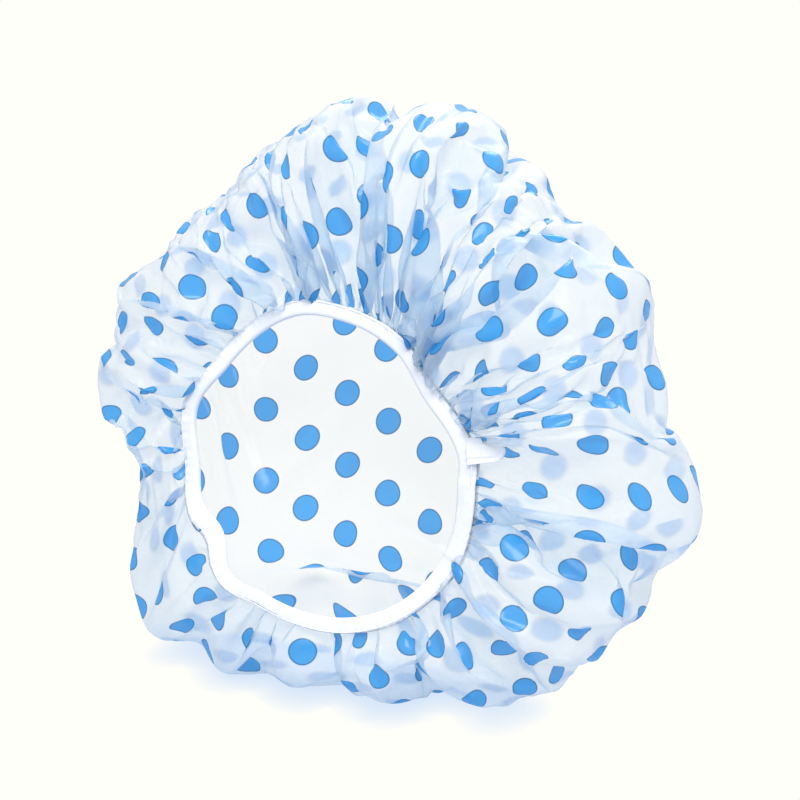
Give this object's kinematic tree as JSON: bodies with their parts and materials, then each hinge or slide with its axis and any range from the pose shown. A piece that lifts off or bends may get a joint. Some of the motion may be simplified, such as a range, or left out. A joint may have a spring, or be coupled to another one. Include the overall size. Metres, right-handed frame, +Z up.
{
  "type": "shower cap",
  "caption": "Bouffant shower cap of frosted dotted film gathered into an elastic binding, standing open to the front.",
  "frame": {"origin": "on the floor, under the middle of the object's box", "axes": "+Z up, the opening faces -Y, +X to the right of the opening as seen from the front"},
  "size_m": [0.2575, 0.1272, 0.2371],
  "materials": {
    "film": "thin frosted translucent film printed with blue dots",
    "tape": "white woven binding tape",
    "elastic": "white covered elastic",
    "thread": "white sewing thread"
  },
  "bodies": {
    "root": {"cap_film": "film", "binding_tape": "tape", "elastic_band": "elastic", "needle_thread": "thread", "bobbin_thread": "thread", "joint_tack": "thread"}
  },
  "joints": []
}
